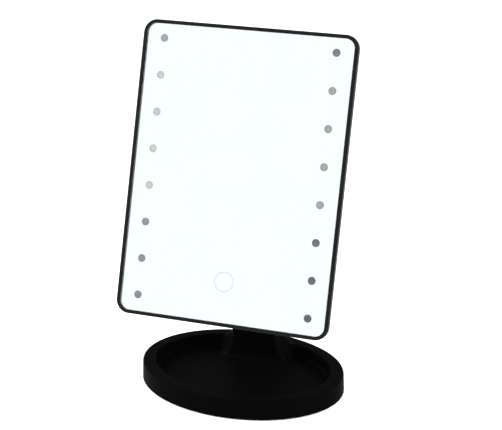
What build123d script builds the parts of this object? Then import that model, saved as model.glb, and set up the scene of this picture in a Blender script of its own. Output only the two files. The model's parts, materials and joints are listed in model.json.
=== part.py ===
from build123d import *
import math
import os

# A lighted vanity mirror on a tray base: a framed mirror head with two columns of lamps, a touch ring and
# a battery housing, hinged on a leaning neck that stands in an oval tray.
# Millimetres. X runs along the mirror's width, Y towards the back and Z up. The origin is the centre of
# the base, on the surface that the feet stand on.

# ---------------------------------------------------------------- driving dimensions

# Base
base_floor = 0.8              # the feet lift the moulding this far
base_top = 16.8               # top of the tray rim
base_half_length = 83.3
base_half_depth = 59.4
base_draft = 0.6              # how much the outer wall draws in towards the top
rim_width = 10.4
tray_floor = 6.8
wall = 2.0
rim_outer_round = 2.0
rim_inner_round = 1.4
floor_round = 3.0
plate_thickness = 1.8
foot_radius = 5.0
foot_thickness = 1.8

# Pedestal and neck
neck_half_width = 18.5
neck_top_half_width = 15.0
pedestal_front = 26.5
pedestal_back = 46.5
pedestal_corner = 4.0
pedestal_flare = 12.0
pedestal_top = 44.0
neck_wall = 2.4
web_low = 24.0
web_high = 26.4
plug_gap = 0.15
neck_round = 2.6
neck_bend_z = 68.0            # the neck is upright below this height and leans above it
barrel_radius = 8.5

# Tilt hinge, across the middle of the head
hinge_y = 5.5
hinge_z = 174.5
rest_tilt = 20.5              # degrees that the head leans back as it stands
pin_radius = 2.5
running_gap = 0.05
washer_thickness = 0.5
ear_thickness = 4.0
ear_radius = 9.0

# Head, in its own upright frame with the hinge axis at the origin and Y back
head_width = 169.2
head_height = 226.2
head_corner = 10.5
side_lip = 3.2
end_lip = 2.8
head_front = -22.4
glass_front = -22.2
glass_back = -20.7
silver_back = -20.55
ledge_front = -20.0           # the glass is taped to the ledge from the front
ledge_back = -18.4
ledge_side = 8.6              # how far the ledge reaches in from the sides of the head
ledge_end = 6.6
ledge_corner = 3.0
bezel_back = -17.7
cover_inside = -13.6
cover_back = -11.4
cover_inset = 0.3
cover_wall = 2.1
cover_round = 5.5

# Lamps and touch ring
lamp_column = 67.8
lamp_pitch = 28.16
lamp_rows = 8
lamp_grid_z = 0.8             # the lamps sit this much above the middle of the head
window_radius = 3.0
ring_radius = 7.75
ring_line = 0.45
ring_z = lamp_grid_z - 80.1
lamp_heights = [lamp_grid_z + lamp_pitch * (row - (lamp_rows - 1) / 2) for row in range(lamp_rows)]

# Battery housing
cell_radius = 7.15
cell_pitch = 15.0
cell_length = 49.2
cell_nub_radius = 2.7
cell_nub_length = 1.3
bay_half_width = 30.6
bay_low = 24.0
bay_high = 82.0
bay_front = -16.6
bay_wall = 1.6
housing_half_width = 33.4
housing_back = 0.4
door_thickness = 1.8
door_gap = 0.2
contact_thickness = 0.4
contact_dimple = 1.0
spring_radius = 3.2
spring_wire = 0.35
spring_turns = 4

# Boards, leads and switch
board_thickness = 1.0
board_front = cover_inside - board_thickness
control_half_width = 26.0
control_half_height = 15.0
lead_radius = 0.6
lead_depth = board_front - lead_radius
switch_x = 46.0
switch_slot_half = 4.6
knob_travel = 3.0

# Fasteners
boss_radius = 3.0
thread_radius = 1.2
pilot_radius = 1.25

parts = {}


# ---------------------------------------------------------------- shape helpers

def block(x_low, x_high, y_low, y_high, z_low, z_high):
    """Box between two limits on each axis."""
    size = (x_high - x_low, y_high - y_low, z_high - z_low)
    centre = ((x_low + x_high) / 2, (y_low + y_high) / 2, (z_low + z_high) / 2)
    return Pos(*centre) * Box(*size)


def slab(outline, front, back):
    """Give an outline in X and Z a thickness between two depths."""
    return extrude(Plane.XZ.offset(-back) * outline, amount=back - front)


def rod(x, z, radius, front, back):
    """Round bar along Y between two depths."""
    return slab(Pos(x, z) * Circle(radius), front, back)


def axle(x_low, x_high, radius):
    """Round bar along the hinge axis of the head's frame."""
    return extrude(Plane.YZ.offset(x_low) * Circle(radius), amount=x_high - x_low)


def upright(x, y, radius, z_low, z_high):
    """Round bar along Z."""
    return extrude(Pos(x, y, z_low) * Circle(radius), amount=z_high - z_low)


def oval(half_length, half_depth, z_low, z_high):
    """Straight-sided oval block."""
    return extrude(Pos(0, 0, z_low) * Ellipse(half_length, half_depth), amount=z_high - z_low)


def screw(head_radius, head_height, shank_length):
    """Pan-head screw along Z: the head rests on Z = 0 and the shank goes down. It has a cross recess."""
    head = upright(0, 0, head_radius, 0, head_height)
    head = fillet(head.edges().group_by(Axis.Z)[-1], head_height * 0.4)
    arm = head_radius * 0.6
    cross = block(-arm, arm, -0.3, 0.3, head_height * 0.45, head_height)
    cross += block(-0.3, 0.3, -arm, arm, head_height * 0.45, head_height)
    return head - cross + upright(0, 0, thread_radius, -shank_length, 0)


def rear_screw(x, z, seat, head_radius, head_height, shank_length):
    """Screw driven from behind, with its head resting on the face at depth seat."""
    return Pos(x, seat, z) * Rot(-90, 0, 0) * screw(head_radius, head_height, shank_length)


def lead(points):
    """Insulated wire inside the head through X-Z points, each corner rounded as far as its runs allow."""
    corners = [Vector(x, lead_depth, z) for x, z in points]
    runs = [end - start for start, end in zip(corners, corners[1:])]
    radii = []
    for before, after in zip(runs, runs[1:]):
        half_turn = math.radians(before.get_angle(after) / 2)
        radii.append(0.45 * min(before.length, after.length) / math.tan(half_turn))
    path = FilletPolyline(*corners, radius=radii)
    section = Plane(origin=path @ 0, z_dir=path % 0) * Circle(lead_radius)
    return sweep(section, path=path)


def coil(radius, wire_radius, height, turns):
    """Compression spring along Z, standing on Z = 0."""
    path = Helix(pitch=(height - 2 * wire_radius) / turns, height=height - 2 * wire_radius, radius=radius)
    section = Plane(origin=path @ 0, z_dir=path % 0) * Circle(wire_radius)
    return Pos(0, 0, wire_radius) * sweep(section, path=path, is_frenet=True)


# ---------------------------------------------------------------- base

def recess(grow, z_low, z_high):
    """The tray hollow: an oval with a notch at the rear for the pedestal. grow pushes its walls outwards."""
    inner_length = base_half_length - base_draft - rim_width
    inner_depth = base_half_depth - base_draft - rim_width
    hollow = oval(inner_length + grow, inner_depth + grow, z_low, z_high)
    side = neck_half_width - grow
    hollow -= block(-side, side, pedestal_front + grow, base_half_depth, z_low, z_high)
    hollow = fillet(upright_edges(hollow, pedestal_front, pedestal_front + wall + 1), pedestal_corner - grow)
    return fillet(upright_edges(hollow, base_half_depth - 20, base_half_depth), pedestal_flare + grow)


def upright_edges(shape, y_low, y_high):
    """Vertical edges whose middle lies between two values of Y."""
    return shape.edges().filter_by(
        lambda edge: abs((edge % 0.5).Z) > 0.999 and y_low - 0.1 < (edge @ 0.5).Y < y_high
    )


def neck_section(inset, z_low, z_high):
    """Straight length of the neck's rounded-rectangle section, drawn in from its outer faces by inset."""
    width = 2 * (neck_half_width - inset)
    depth = pedestal_back - pedestal_front - 2 * inset
    middle = (pedestal_front + pedestal_back) / 2
    outline = RectangleRounded(width, depth, max(pedestal_corner - inset, 0.8))
    return extrude(Pos(0, middle, z_low) * outline, amount=z_high - z_low)


ring_screws = [(x, y) for x in (-54.0, 54.0) for y in (-37.6, 37.6)]
foot_places = [(x, y) for x in (-60.0, 60.0) for y in (-24.0, 24.0)]
neck_screw_places = [-9.0, 9.0]
neck_middle_y = (pedestal_front + pedestal_back) / 2


def make_base_tray():
    """One moulding: outer wall, rim, tray floor, and the hollow pedestal whose top takes the neck's plug."""
    lower = Pos(0, 0, base_floor) * Ellipse(base_half_length, base_half_depth)
    top_length = base_half_length - base_draft
    top_depth = base_half_depth - base_draft
    upper = Pos(0, 0, base_top) * Ellipse(top_length, top_depth)
    outside = loft([lower, upper])
    outside = fillet(outside.edges().group_by(Axis.Z)[-1], rim_outer_round)
    hollow = recess(0, tray_floor, base_top)
    hollow = fillet(hollow.edges().group_by(Axis.Z)[0], floor_round)
    tray = outside - hollow
    rim_edges = tray.edges().group_by(Axis.Z)[-1]
    inner_edges = rim_edges.filter_by(lambda edge: not is_outer_rim(edge))
    tray = fillet(inner_edges, rim_inner_round)

    underside = oval(base_half_length - wall, base_half_depth - wall, base_floor, tray_floor - wall)
    ring_space = oval(top_length - wall, top_depth - wall, tray_floor - wall, base_top - wall)
    ring_space -= recess(wall, tray_floor - wall - 1, base_top)
    tray = tray - underside - ring_space
    tray += neck_section(0, base_top - 1, pedestal_top)
    tray -= neck_section(neck_wall, base_top - 2, web_low)
    tray -= neck_section(neck_wall, web_high, pedestal_top)
    for x in neck_screw_places:
        tray -= upright(x, neck_middle_y, pilot_radius, web_low, web_high)
    for x, y in ring_screws:
        tray += upright(x, y, boss_radius, base_floor + plate_thickness, base_top - wall)
        tray -= upright(x, y, pilot_radius, base_floor + plate_thickness, base_top - wall - 2)
    return tray


def is_outer_rim(edge):
    """True for the rim edge that follows the outside of the base."""
    middle = edge @ 0.5
    length_share = middle.X / (base_half_length - rim_width / 2)
    depth_share = middle.Y / (base_half_depth - rim_width / 2)
    return length_share ** 2 + depth_share ** 2 > 1


def make_bottom_plate():
    """Oval cover that closes the underside, with pockets for the feet and seats for its screws."""
    gap = 0.3
    plate_top = base_floor + plate_thickness
    plate = oval(base_half_length - wall - gap, base_half_depth - wall - gap, base_floor, plate_top)
    for x, y in foot_places:
        plate -= upright(x, y, foot_radius, base_floor, foot_thickness)
    for x, y in ring_screws:
        plate -= upright(x, y, 2.6, base_floor, base_floor + 1.0)
        plate -= upright(x, y, pilot_radius + 0.2, base_floor, plate_top)
    return plate


parts["base_tray"] = make_base_tray()
parts["base_bottom_plate"] = make_bottom_plate()
parts["rubber_feet"] = Part() + [upright(x, y, foot_radius, 0, foot_thickness) for x, y in foot_places]
base_screw = Pos(0, 0, base_floor + 1.0) * Rot(180, 0, 0) * screw(2.4, 0.9, 10.0)
parts["base_screws"] = Part() + [Pos(x, y, 0) * base_screw for x, y in ring_screws]


# ---------------------------------------------------------------- neck

def neck_side_profile(inset, low):
    """The neck seen from the side: upright at the foot, then leaning forward to the hinge barrel."""
    foot_y = neck_middle_y
    half_foot = (pedestal_back - pedestal_front) / 2 - inset
    half_top = barrel_radius - inset
    lean = Vector(hinge_y - foot_y, hinge_z - neck_bend_z).normalized()
    across = Vector(lean.Y, -lean.X)
    front_top = Vector(hinge_y, hinge_z) - across * half_top
    rear_top = Vector(hinge_y, hinge_z) + across * half_top
    outline = Polyline(
        (foot_y - half_foot, low),
        (foot_y - half_foot, neck_bend_z - 2),
        (front_top.X, front_top.Y),
        (rear_top.X, rear_top.Y),
        (foot_y + half_foot, neck_bend_z + 2),
        (foot_y + half_foot, low),
        close=True,
    )
    face = make_face(outline)
    bends = face.vertices().filter_by_position(Axis.Y, neck_bend_z - 3, neck_bend_z + 3)
    return fillet(bends, 110)


def neck_front_profile(inset, low):
    """The neck seen from the front: full width at the foot, narrower from the middle up to the hinge."""
    half_foot = neck_half_width - inset
    half_top = neck_top_half_width - inset
    top = hinge_z + barrel_radius + 1
    outline = Polyline(
        (-half_foot, low), (-half_foot, 66), (-half_top, 148), (-half_top, top),
        (half_top, top), (half_top, 148), (half_foot, 66), (half_foot, low), close=True,
    )
    face = make_face(outline)
    bends = face.vertices().filter_by_position(Axis.Y, low + 1, hinge_z - 5)
    return fillet(bends, 160)


def neck_body(inset, low):
    """Solid of the leaning part of the neck, drawn in from its outer faces by inset."""
    half_width = neck_half_width + 1
    side = extrude(Plane.YZ.offset(-half_width) * neck_side_profile(inset, low), amount=2 * half_width)
    return side & slab(neck_front_profile(inset, low), -30, 80)


def front_half_space():
    """Everything in front of the neck's middle line, and the whole of the hinge barrel."""
    lean = Vector(hinge_y - neck_middle_y, hinge_z - neck_bend_z)
    seam_top = Vector(hinge_y, hinge_z) - lean * 0.13
    outline = Polyline(
        (-40, 0), (neck_middle_y, 0), (neck_middle_y, neck_bend_z), (seam_top.X, seam_top.Y),
        (40, seam_top.Y + 4), (40, 200), (-40, 200), close=True,
    )
    return extrude(Plane.YZ.offset(-30) * make_face(outline), amount=60)


neck_screw_heights = [84.0, 128.0]
plug_low = 27.0
plug_solid_top = 33.0


def neck_line_y(height):
    """Y of the neck's middle line at a height."""
    share = max(0.0, (height - neck_bend_z) / (hinge_z - neck_bend_z))
    return neck_middle_y + (hinge_y - neck_middle_y) * share


def make_neck():
    """Two moulded halves that meet on the middle line; the front half carries the plug and the barrel."""
    outside = neck_body(0, pedestal_top)
    side_edges = outside.edges().filter_by(
        lambda edge: abs((edge % 0.5).Z) > 0.8 and abs((edge @ 0.5).X) > neck_top_half_width - 0.5
    )
    outside = fillet(side_edges, neck_round)
    barrel = Pos(0, hinge_y, hinge_z) * axle(-neck_top_half_width, neck_top_half_width, barrel_radius)
    plug = neck_section(neck_wall + plug_gap, plug_low, pedestal_top)
    outside = outside + barrel + plug

    inside = neck_body(neck_wall, pedestal_top + neck_wall) & block(-30, 30, -30, 80, 0, hinge_z - 16)
    inside += neck_section(2 * neck_wall, plug_solid_top, pedestal_top + neck_wall + 1)
    shell = outside - inside
    front_space = front_half_space()
    front = shell & front_space
    front += neck_section(neck_wall + plug_gap, plug_low, plug_solid_top)
    rear = shell - front_space - neck_section(0, 0, plug_solid_top)

    for height in neck_screw_heights:
        middle = neck_line_y(height)
        front += rod(0, height, boss_radius, middle - 7.5, middle) & outside
        front -= rod(0, height, pilot_radius, middle - 6, middle)
        rear += rod(0, height, boss_radius + 0.6, middle, middle + 7.5) & outside
        rear -= rod(0, height, pilot_radius + 0.2, middle, middle + 12)
        rear -= rod(0, height, 2.8, middle + 4.5, middle + 14)
    front -= Pos(0, hinge_y, hinge_z) * axle(-20, 20, pin_radius + running_gap)
    for x in neck_screw_places:
        front -= upright(x, neck_middle_y, pilot_radius, plug_low, plug_solid_top)
    return front, rear


parts["neck_front_shell"], parts["neck_rear_shell"] = make_neck()
parts["neck_shell_screws"] = Part() + [
    Pos(0, neck_line_y(height) + 4.5, height) * Rot(-90, 0, 0) * screw(2.6, 1.5, 10.0)
    for height in neck_screw_heights
]
parts["neck_foot_screws"] = Part() + [
    Pos(x, neck_middle_y, web_low) * Rot(180, 0, 0) * screw(2.6, 1.5, 8.0) for x in neck_screw_places
]


# ---------------------------------------------------------------- head frame and mirror

recess_width = head_width - 2 * side_lip
recess_height = head_height - 2 * end_lip
recess_corner = head_corner - side_lip
glass_width = recess_width - 0.2
glass_height = recess_height - 0.2
frame_screws = [(x, z) for x in (-77.5, 77.5) for z in (-96.0, 0.0, 96.0)]
bracket_screws = [(x, z) for x in (-25.0, 25.0) for z in (-12.0, 12.0)]


def ledge_opening(grow):
    """Outline of the opening inside the ledge that carries the glass, wider by grow on every side."""
    half_width = head_width / 2 - ledge_side + grow
    half_height = head_height / 2 - ledge_end + grow
    return RectangleRounded(2 * half_width, 2 * half_height, ledge_corner + grow)


def make_bezel():
    """Front frame: a rim round the glass, a ledge behind it, and six screw posts at the back."""
    frame = slab(RectangleRounded(head_width, head_height, head_corner), head_front, bezel_back)
    frame = fillet(frame.edges().group_by(Axis.Y)[0], 0.9)
    frame -= slab(RectangleRounded(recess_width, recess_height, recess_corner), head_front - 1, ledge_front)
    frame -= slab(ledge_opening(0), ledge_front, ledge_back)
    frame -= slab(RectangleRounded(recess_width, recess_height, recess_corner), ledge_back, bezel_back)
    for x, z in frame_screws:
        side = math.copysign(1, x)
        post = rod(x, z, boss_radius, ledge_back, cover_inside - 1)
        arm_ends = sorted((x, side * (head_width / 2 - 1)))
        arm = block(arm_ends[0], arm_ends[1], ledge_back, bezel_back, z - 3, z + 3)
        frame += post + arm
        frame -= rod(x, z, pilot_radius, bezel_back + 0.2, cover_inside - 1)
    return frame


def make_silvering():
    """Reflective coat on the back of the glass, cleared at each lamp window and along the touch ring."""
    coat = RectangleRounded(glass_width - 0.6, glass_height - 0.6, recess_corner - 0.4)
    for x in (-lamp_column, lamp_column):
        for z in lamp_heights:
            coat -= Pos(x, z) * Circle(window_radius)
    outer = Pos(0, ring_z) * Circle(ring_radius + ring_line / 2)
    inner = Pos(0, ring_z) * Circle(ring_radius - ring_line / 2)
    return slab(coat - outer + inner, glass_back, silver_back)


def make_gasket():
    """Double-sided foam tape that holds the back of the glass to the ledge."""
    outer = RectangleRounded(glass_width - 1, glass_height - 1, recess_corner - 0.6)
    return slab(outer - ledge_opening(0.6), silver_back, ledge_front)


def lamp_strip(x, half_width, front, back):
    """Long strip behind one column of lamps."""
    half_height = lamp_pitch * (lamp_rows - 1) / 2 + 6
    return block(
        x - half_width, x + half_width, front, back, lamp_grid_z - half_height, lamp_grid_z + half_height
    )


def make_lamps(x):
    """Eight surface-mounted lamp packages with a small emitting dome, on the front of their board."""
    lamps = Part()
    for z in lamp_heights:
        lamps += block(x - 1.75, x + 1.75, board_front - 1.2, board_front, z - 1.4, z + 1.4)
        lamps += rod(x, z, 1.1, board_front - 1.5, board_front - 1.2)
    return lamps


head_parts = {}
head_parts["front_bezel"] = make_bezel()
head_parts["mirror_glass"] = slab(
    RectangleRounded(glass_width, glass_height, recess_corner - 0.1), glass_front, glass_back
)
head_parts["mirror_silvering"] = make_silvering()
head_parts["glass_gasket"] = make_gasket()
for side_name, side_sign in (("left", -1), ("right", 1)):
    column = side_sign * lamp_column
    head_parts[f"diffuser_{side_name}"] = lamp_strip(column, 4.5, silver_back, silver_back + 1.0)
    head_parts[f"lamp_board_{side_name}"] = lamp_strip(column, 4.5, board_front, cover_inside)
    head_parts[f"lamps_{side_name}"] = make_lamps(column)


# ---------------------------------------------------------------- rear cover and battery bay

def make_rear_cover():
    """Shallow dish with a rounded back edge, the battery housing standing on its upper half."""
    width = head_width - 2 * cover_inset
    height = head_height - 2 * cover_inset
    corner = head_corner - cover_inset
    cover = slab(RectangleRounded(width, height, corner), bezel_back, cover_back)
    cover = fillet(cover.edges().group_by(Axis.Y)[-1], cover_round)
    inner_outline = RectangleRounded(width - 2 * cover_wall, height - 2 * cover_wall, corner - cover_wall)
    hollow = slab(inner_outline, bezel_back, cover_inside)
    cover -= fillet(hollow.edges().group_by(Axis.Y)[-1], cover_round - cover_wall)

    housing_low = bay_low - bay_wall
    housing_high = bay_high + bay_wall
    housing = block(
        -housing_half_width, housing_half_width, bay_front - 1.3, housing_back, housing_low, housing_high
    )
    housing = fillet(housing.edges().filter_by(Axis.Y), 3.0)
    housing = fillet(housing.edges().group_by(Axis.Y)[-1], 1.2)
    cover += housing
    cover -= block(-bay_half_width, bay_half_width, bay_front, housing_back + 1, bay_low, bay_high)
    cover -= slab(door_outline(0), housing_back - door_thickness, housing_back + 1)

    for x, z in frame_screws:
        cover += rod(x, z, boss_radius, cover_inside - 1, cover_inside + 0.5)
        cover -= rod(x, z, pilot_radius + 0.2, cover_inside - 1, cover_back)
        cover -= rod(x, z, 2.8, cover_back - 1.4, cover_back)
    for x, z in bracket_screws:
        cover += rod(x, z, boss_radius, cover_inside - 3.6, cover_inside)
        cover -= rod(x, z, pilot_radius, cover_inside - 3.2, cover_back)
    for x in (-outer_cell_x, outer_cell_x):
        cover -= upright(x, lead_depth, lead_radius + 0.3, housing_low - 1, bay_low)
    slot_high = ring_z + 1.9
    slot_low = ring_z - 1.9
    slot_left = switch_x - switch_slot_half
    slot_right = switch_x + switch_slot_half
    cover -= block(slot_left, slot_right, cover_inside, cover_back, slot_low, slot_high)
    cover -= block(
        slot_left - 2.4, slot_right + 2.4, cover_back - 0.8, cover_back, slot_low - 2.4, slot_high + 2.4
    )
    for x, z in control_screws:
        cover -= rod(x, z, pilot_radius, cover_inside, cover_inside + 1.5)
    return cover


def door_outline(gap):
    """Outline of the battery door, a little smaller than its seat by gap on every side."""
    half_width = bay_half_width + 1.2 - gap
    low = bay_low - 0.8 + gap
    high = bay_high + 0.8 - gap
    middle = (low + high) / 2
    return Pos(0, middle) * RectangleRounded(2 * half_width, high - low, 1.6)


def make_battery_door():
    """Flat door set flush in the housing, with grip grooves and a finger notch at its upper end."""
    door = slab(door_outline(door_gap), housing_back - door_thickness, housing_back)
    for index in range(5):
        z = bay_low + 9 + 3 * index
        door -= block(-11, 11, housing_back - 0.6, housing_back, z - 0.6, z + 0.6)
    notch = slab(Pos(0, bay_high + 0.8) * Circle(7), housing_back - 0.9, housing_back)
    return door - notch


outer_cell_x = cell_pitch * 1.5
cell_columns = [cell_pitch * (index - 1.5) for index in range(4)]
cell_depth = (bay_front + housing_back - door_thickness) / 2
cell_overall = cell_length + cell_nub_length
spring_space = bay_high - bay_low - 2 * contact_thickness - contact_dimple - cell_overall
control_screws = [(-22.5, ring_z - 11.5), (22.5, ring_z - 11.5)]


def make_cell():
    """Round cell standing on Z = 0 with its nub on top."""
    case = upright(0, 0, cell_radius, 0, cell_length)
    case = fillet(case.edges().group_by(Axis.Z)[-1], 0.8)
    return case + upright(0, 0, cell_nub_radius, cell_length - 0.2, cell_overall)


def nub_is_up(index):
    """Cells lie head to tail; the first and third have the nub at the top."""
    return index % 2 == 0


def contact_plate(x_low, x_high, z_low):
    """Sheet-metal contact standing across one end of the bay."""
    return block(
        x_low, x_high, cell_depth - 5.5, cell_depth + 5.5, z_low, z_low + contact_thickness
    )


def make_contacts():
    """Two bridges at the top, one at the bottom, and the two end terminals, each with its nub dimples."""
    top = bay_high - contact_thickness
    reach = 5.5
    first, second, third, fourth = cell_columns
    bridges = contact_plate(first - reach, second + reach, top)
    bridges += contact_plate(third - reach, fourth + reach, top)
    bridges += contact_plate(second - reach, third + reach, bay_low)
    terminals = contact_plate(first - reach, first + reach, bay_low)
    terminals += contact_plate(fourth - reach, fourth + reach, bay_low)
    dimple_top = bay_low + contact_thickness
    bridges += upright(first, cell_depth, 2.2, top - contact_dimple, top)
    bridges += upright(third, cell_depth, 2.2, top - contact_dimple, top)
    bridges += upright(second, cell_depth, 2.2, dimple_top, dimple_top + contact_dimple)
    terminals += upright(fourth, cell_depth, 2.2, dimple_top, dimple_top + contact_dimple)
    return bridges, terminals


def make_battery_springs():
    """One coil spring behind the flat end of each cell."""
    spring = coil(spring_radius, spring_wire, spring_space, spring_turns)
    springs = Part()
    for index, x in enumerate(cell_columns):
        low = bay_low + contact_thickness if nub_is_up(index) else bay_high - contact_thickness - spring_space
        springs += Pos(x, cell_depth, low) * spring
    return springs


head_parts["rear_cover"] = make_rear_cover()
head_parts["battery_door"] = make_battery_door()
for cell_index, cell_x in enumerate(cell_columns):
    if nub_is_up(cell_index):
        placed = Pos(cell_x, cell_depth, bay_low + contact_thickness + spring_space) * make_cell()
    else:
        cell_end = bay_high - contact_thickness - spring_space
        placed = Pos(cell_x, cell_depth, cell_end) * Rot(180, 0, 0) * make_cell()
    head_parts[f"battery_cell_{cell_index + 1}"] = placed
head_parts["contact_bridges"], head_parts["battery_terminals"] = make_contacts()
head_parts["battery_springs"] = make_battery_springs()
head_parts["cover_screws"] = Part() + [
    rear_screw(x, z, cover_back - 1.4, 2.6, 1.3, 4.6) for x, z in frame_screws
]


# ---------------------------------------------------------------- hinge

plate_back = cover_back + 2.5
ear_inner = neck_top_half_width + running_gap + washer_thickness
ear_outer = ear_inner + ear_thickness
spring_washer_thickness = 1.2
nut_thickness = 4.0


def make_bracket():
    """Plate screwed to the rear cover, with two ears that carry the hinge pin."""
    bracket = slab(RectangleRounded(60, 36, 5), cover_back, plate_back)
    ear_half_height = 14.0
    ear_outline = make_hull(
        [
            Pos(0, 0) * Edge.make_circle(ear_radius),
            Edge.make_line((cover_back, -ear_half_height), (cover_back, ear_half_height)),
        ]
    )
    for low in (-ear_outer, ear_inner):
        bracket += extrude(Plane.YZ.offset(low) * ear_outline, amount=ear_thickness)
    bracket -= axle(-ear_outer, ear_outer, pin_radius)
    for x, z in bracket_screws:
        bracket -= rod(x, z, pilot_radius + 0.2, cover_back, plate_back)
    return bracket


def make_hinge_pin():
    """Bolt through both ears, with a round head on one side."""
    head_round = axle(-ear_outer - 3.0, -ear_outer, 4.6)
    head_round = fillet(head_round.edges().group_by(Axis.X)[0], 1.0)
    socket = extrude(Plane.YZ.offset(-ear_outer - 3.0) * RegularPolygon(2.3, 6), amount=1.6)
    end = ear_outer + spring_washer_thickness + nut_thickness + 1.0
    return head_round - socket + axle(-ear_outer, end, pin_radius)


def washer(x_low, thickness, outer_radius):
    """Flat ring on the hinge pin."""
    return axle(x_low, x_low + thickness, outer_radius) - axle(x_low, x_low + thickness, pin_radius)


def make_spring_washer():
    """Split spring washer between the ear and the nut."""
    ring = washer(ear_outer, spring_washer_thickness, 4.4)
    return ring - block(ear_outer, ear_outer + spring_washer_thickness, 0, 5, -0.4, 0.4)


def make_nut():
    """Hexagon nut that sets the hinge friction."""
    start = ear_outer + spring_washer_thickness
    body = extrude(Plane.YZ.offset(start) * RegularPolygon(4.6, 6), amount=nut_thickness)
    return body - axle(start, start + nut_thickness, pin_radius)


head_parts["hinge_bracket"] = make_bracket()
head_parts["bracket_screws"] = Part() + [
    rear_screw(x, z, plate_back, 2.6, 1.5, 7.6) for x, z in bracket_screws
]
head_parts["hinge_pin"] = make_hinge_pin()
head_parts["friction_washers"] = Part() + [
    washer(-ear_inner, washer_thickness, 8.0), washer(ear_inner - washer_thickness, washer_thickness, 8.0)
]
head_parts["spring_washer"] = make_spring_washer()
head_parts["hinge_nut"] = make_nut()


# ---------------------------------------------------------------- control board, switch and leads

def make_chips():
    """Touch chip, lamp driver, two transistors and a row of small parts on the control board."""
    sizes = [(-16, 3, 5, 4), (14, 4, 4, 4), (-17, -6, 3, 1.5), (16, -5, 3, 1.5)]
    sizes += [(x, -10, 1.6, 0.8) for x in (-10, -5, 5, 10)]
    chips = Part()
    for x, z, width, height in sizes:
        middle_z = ring_z + z
        chips += block(
            x - width / 2, x + width / 2, board_front - 1.2, board_front,
            middle_z - height / 2, middle_z + height / 2,
        )
    return chips


def make_switch_body():
    """Slide-switch case behind the cover's slot, with a channel for the knob's foot."""
    left = switch_x - 6.5
    right = switch_x + 6.5
    body = block(left, right, cover_inside - 4.4, cover_inside, ring_z - 3.4, ring_z + 3.4)
    channel_left = switch_x - switch_slot_half
    channel_right = switch_x + switch_slot_half
    body -= block(channel_left, channel_right, cover_inside - 2.2, cover_inside, ring_z - 1.9, ring_z + 1.9)
    return body


def make_switch_knob():
    """Knob with a ribbed top; it starts at the left end of its slot and slides right."""
    gap = 0.2
    left = switch_x - switch_slot_half + gap
    right = left + 2 * (switch_slot_half - gap) - knob_travel
    low = ring_z - 1.9 + gap
    high = ring_z + 1.9 - gap
    knob = block(left, right, cover_inside - 2.2 + gap, cover_back + 0.9, low, high)
    middle = (left + right) / 2
    for offset in (-1.4, 0, 1.4):
        x = middle + offset
        knob -= block(x - 0.3, x + 0.3, cover_back + 0.4, cover_back + 0.9, low, high)
    return knob


head_parts["control_board"] = block(
    -control_half_width, control_half_width, board_front, cover_inside,
    ring_z - control_half_height, ring_z + control_half_height,
)
for x, z in control_screws:
    head_parts["control_board"] -= rod(x, z, pilot_radius, board_front, cover_inside)
head_parts["control_chips"] = make_chips()
head_parts["board_screws"] = Part() + [
    Pos(x, board_front, z) * Rot(90, 0, 0) * screw(2.0, 1.1, 2.4) for x, z in control_screws
]
touch_space = board_front - silver_back
head_parts["touch_spring"] = Pos(0, board_front, ring_z) * Rot(90, 0, 0) * coil(4.0, 0.3, touch_space, 4)
head_parts["switch_body"] = make_switch_body()
head_parts["switch_knob"] = make_switch_knob()

board_top = ring_z + control_half_height
switch_top = ring_z + 3.4
head_parts["lead_battery_red"] = lead(
    [(outer_cell_x, bay_low), (outer_cell_x, 20), (14, 10), (14, -32), (switch_x, -58), (switch_x, switch_top)]
)
head_parts["lead_battery_black"] = lead(
    [(-outer_cell_x, bay_low), (-outer_cell_x, 20), (-14, 10), (-13, -30), (-10, board_top - 2)]
)
head_parts["lead_switch"] = lead(
    [(switch_x - 6.7, ring_z), (33, ring_z + 1), (control_half_width - 2, ring_z + 4)]
)
lamp_board_edge = lamp_column - 4.5 + 2
lamp_board_low = lamp_grid_z - lamp_pitch * (lamp_rows - 1) / 2
head_parts["lead_lamps_left"] = lead(
    [(-lamp_board_edge, lamp_board_low + 10), (-52, lamp_board_low + 8), (-38, ring_z - 6),
     (-control_half_width + 2, ring_z - 4)]
)
head_parts["lead_lamps_right"] = lead(
    [(lamp_board_edge, lamp_board_low + 4), (52, lamp_board_low + 5), (38, ring_z - 9),
     (control_half_width - 2, ring_z - 8)]
)


# ---------------------------------------------------------------- place the head and write the files

head_place = Pos(0, hinge_y, hinge_z) * Rot(-rest_tilt, 0, 0)
for name, shape in head_parts.items():
    parts[name] = head_place * shape

os.makedirs("parts", exist_ok=True)
for name, shape in parts.items():
    export_step(shape, f"parts/{name}.step")
    print(f"{name:22s} {len(shape.solids()):3d} solids {shape.volume:12.2f} mm3")
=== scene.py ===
# %% [markdown]
# # A lighted vanity mirror
# The mirror stands on an oval tray. A leaning neck carries a slim rectangular head that tilts, with
# eight lamp windows down each side of the glass and a touch ring near its lower edge. The
# engineering frame comes first: every part already has its true size and place, so this lesson only
# adds surfaces and finishes around it. All lengths are metres in the same frame.

# %% Load the frame
import json
import math

import bmesh
import bpy
import numpy as np
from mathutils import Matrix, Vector
from mathutils.geometry import delaunay_2d_cdt


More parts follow.
